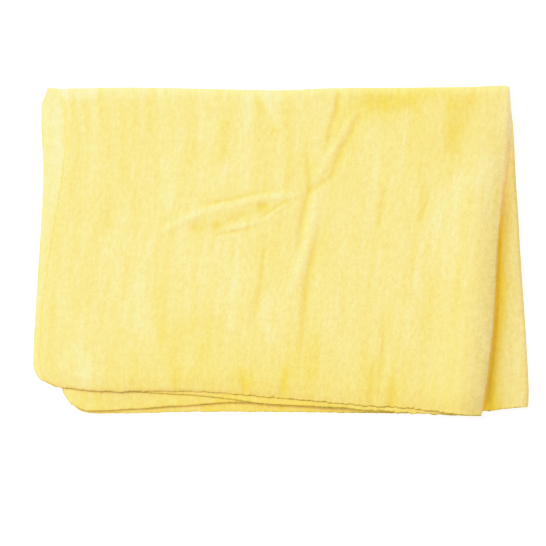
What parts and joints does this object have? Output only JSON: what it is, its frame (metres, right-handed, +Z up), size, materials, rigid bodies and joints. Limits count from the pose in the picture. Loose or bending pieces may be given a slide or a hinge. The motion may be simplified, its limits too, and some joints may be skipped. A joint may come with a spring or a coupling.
{
  "type": "folded synthetic chamois cloth",
  "caption": "Soft brushed synthetic chamois cloth with rounded corners and raw edges, folded lengthways and crossways and lying flat, for drying and polishing.",
  "frame": {"origin": "on the surface, under the middle of the folded cloth's bounding box", "axes": "+X along the folded length towards the side fold, +Y across it towards the top fold, +Z up from the surface"},
  "size_m": [0.319, 0.2124, 0.0112],
  "materials": {
    "chamois": "soft brushed nap, matt"
  },
  "bodies": {
    "root": {"chamois_cloth": "chamois"}
  },
  "joints": []
}
